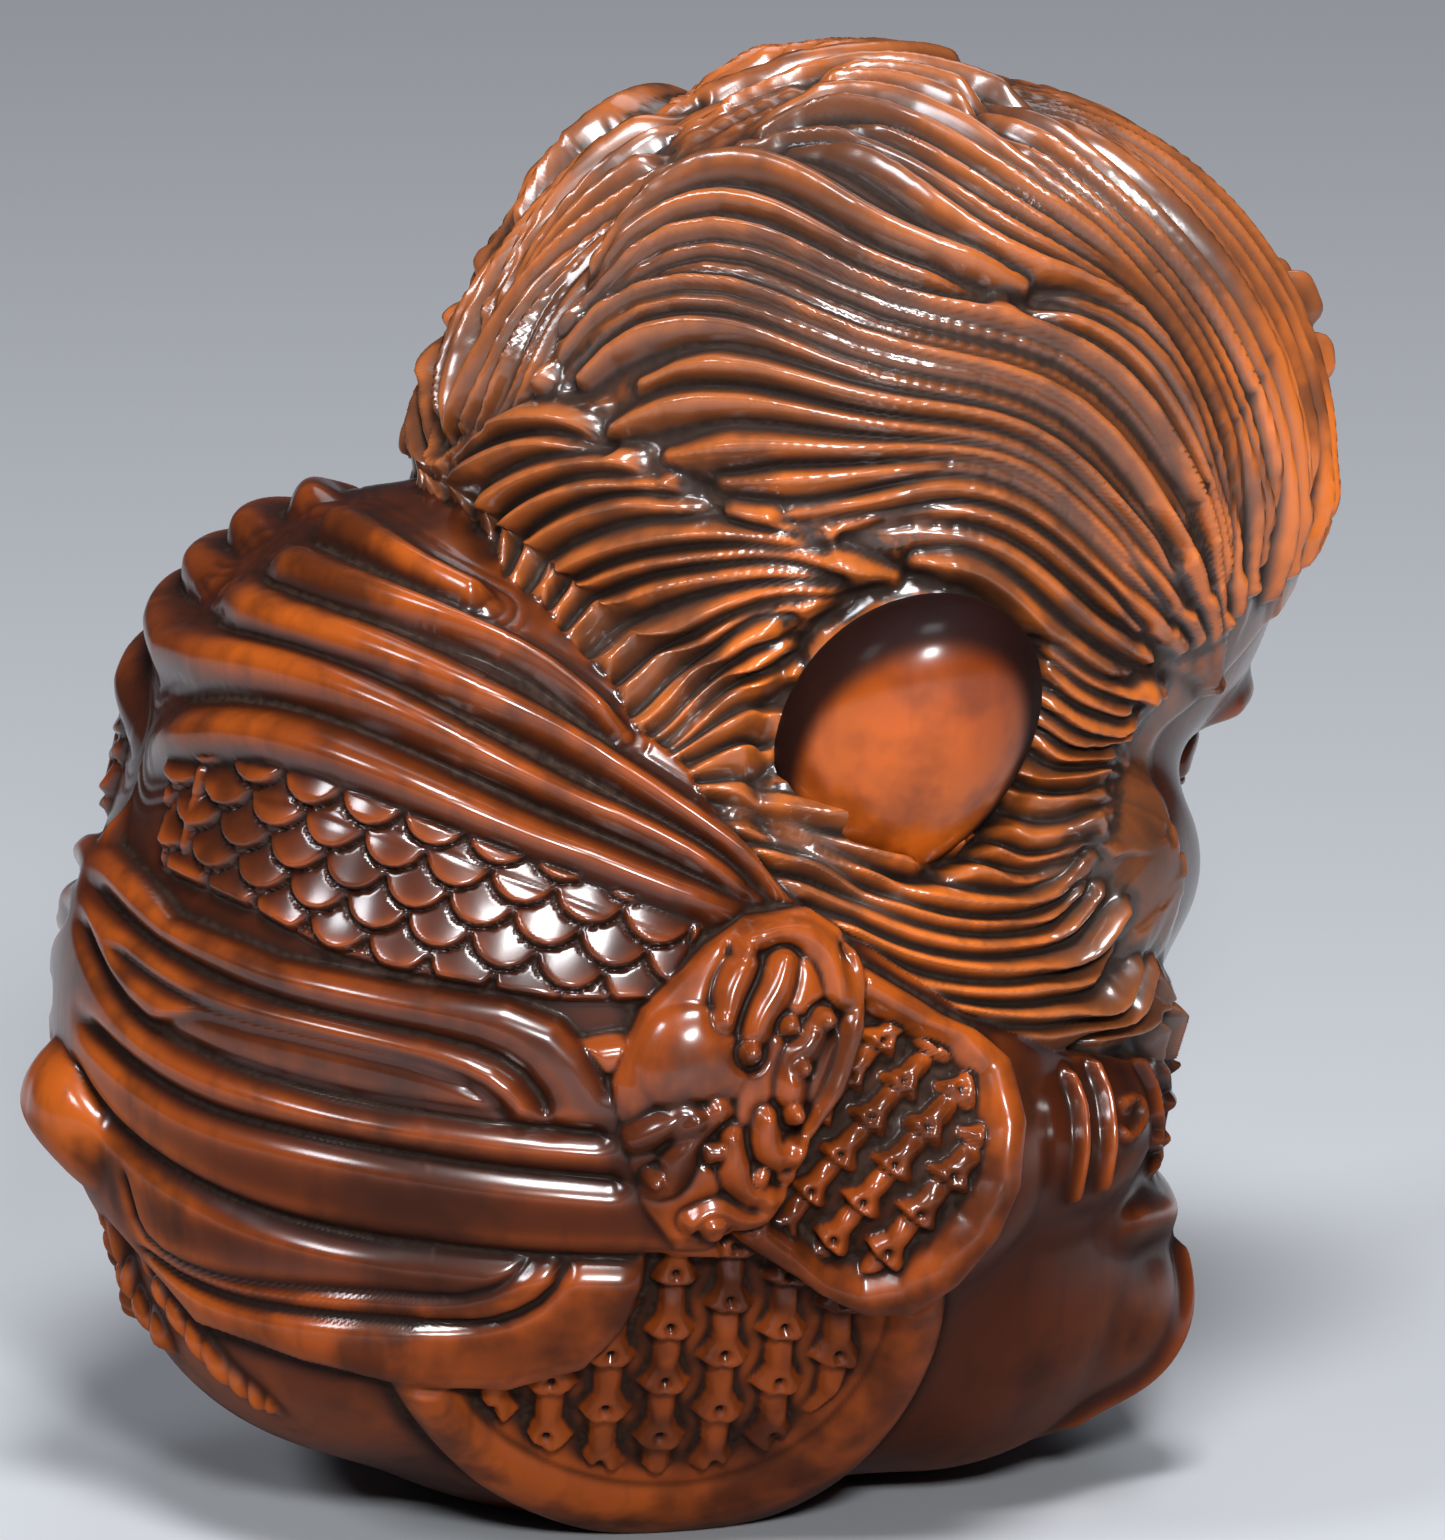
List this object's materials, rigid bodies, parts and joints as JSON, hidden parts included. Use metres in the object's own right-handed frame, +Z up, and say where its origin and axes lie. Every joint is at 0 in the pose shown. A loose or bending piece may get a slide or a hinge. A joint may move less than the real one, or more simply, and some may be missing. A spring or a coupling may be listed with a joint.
{
  "type": "boxwood figurine",
  "caption": "Palm-sized carved boxwood figurine: a crouching long-haired guardian in scale armour and folded cloak, resting on a small flat underside.",
  "frame": {"origin": "on the small flat underside that the figurine rests on, on the left-right middle plane", "axes": "+Z up, front of the figure (face and hands) towards -Y, the figure's right side towards -X"},
  "size_m": [0.0424, 0.0528, 0.058],
  "materials": {
    "boxwood": "polished, orange-brown on the ridges, dark grey-brown in the cuts"
  },
  "bodies": {
    "root": {"figurine": "boxwood"}
  },
  "joints": []
}
